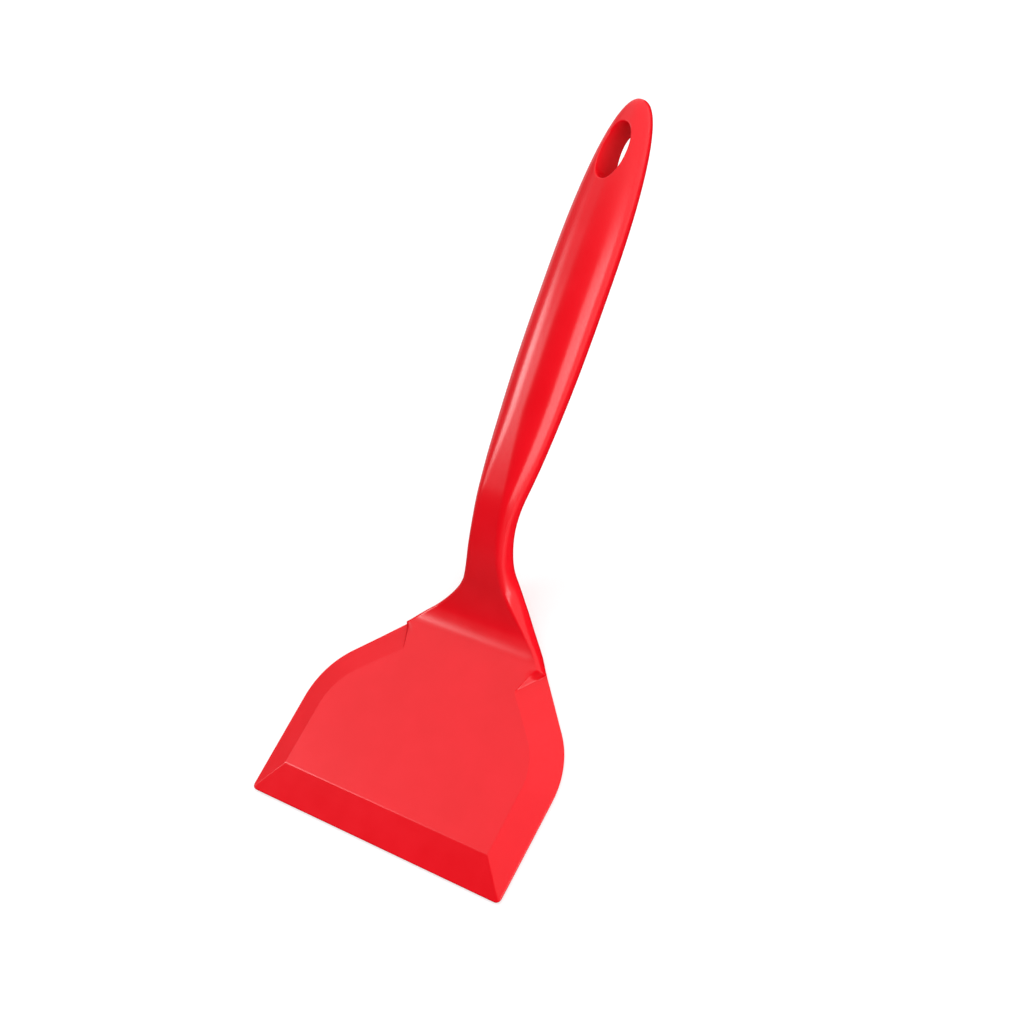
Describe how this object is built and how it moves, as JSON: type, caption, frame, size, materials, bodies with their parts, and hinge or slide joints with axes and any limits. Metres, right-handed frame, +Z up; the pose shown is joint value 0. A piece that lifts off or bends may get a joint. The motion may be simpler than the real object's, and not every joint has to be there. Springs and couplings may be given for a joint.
{
  "type": "spatula",
  "caption": "Wide one-piece silicone kitchen turner with a thin bevelled blade, raised panel, swept neck and oval handle with a hanging hole, moulded over a steel core.",
  "frame": {"origin": "under the middle of the object's outer box, on the surface that the flat underside of the blade lies on", "axes": "+Y from the blade's tip edge towards the handle, +X across the blade in the plane of its underside, +Z up out of the raised panel"},
  "size_m": [0.115, 0.2636, 0.0723],
  "materials": {
    "red_silicone": "satin moulded silicone",
    "stainless_sheet": "stamped stainless sheet",
    "stainless_bar": "formed stainless bar",
    "rivet_steel": "plain rivet steel"
  },
  "bodies": {
    "root": {"silicone_cover": "red_silicone", "blade_plate": "stainless_sheet", "handle_core": "stainless_bar", "core_rivets": "rivet_steel"}
  },
  "joints": []
}
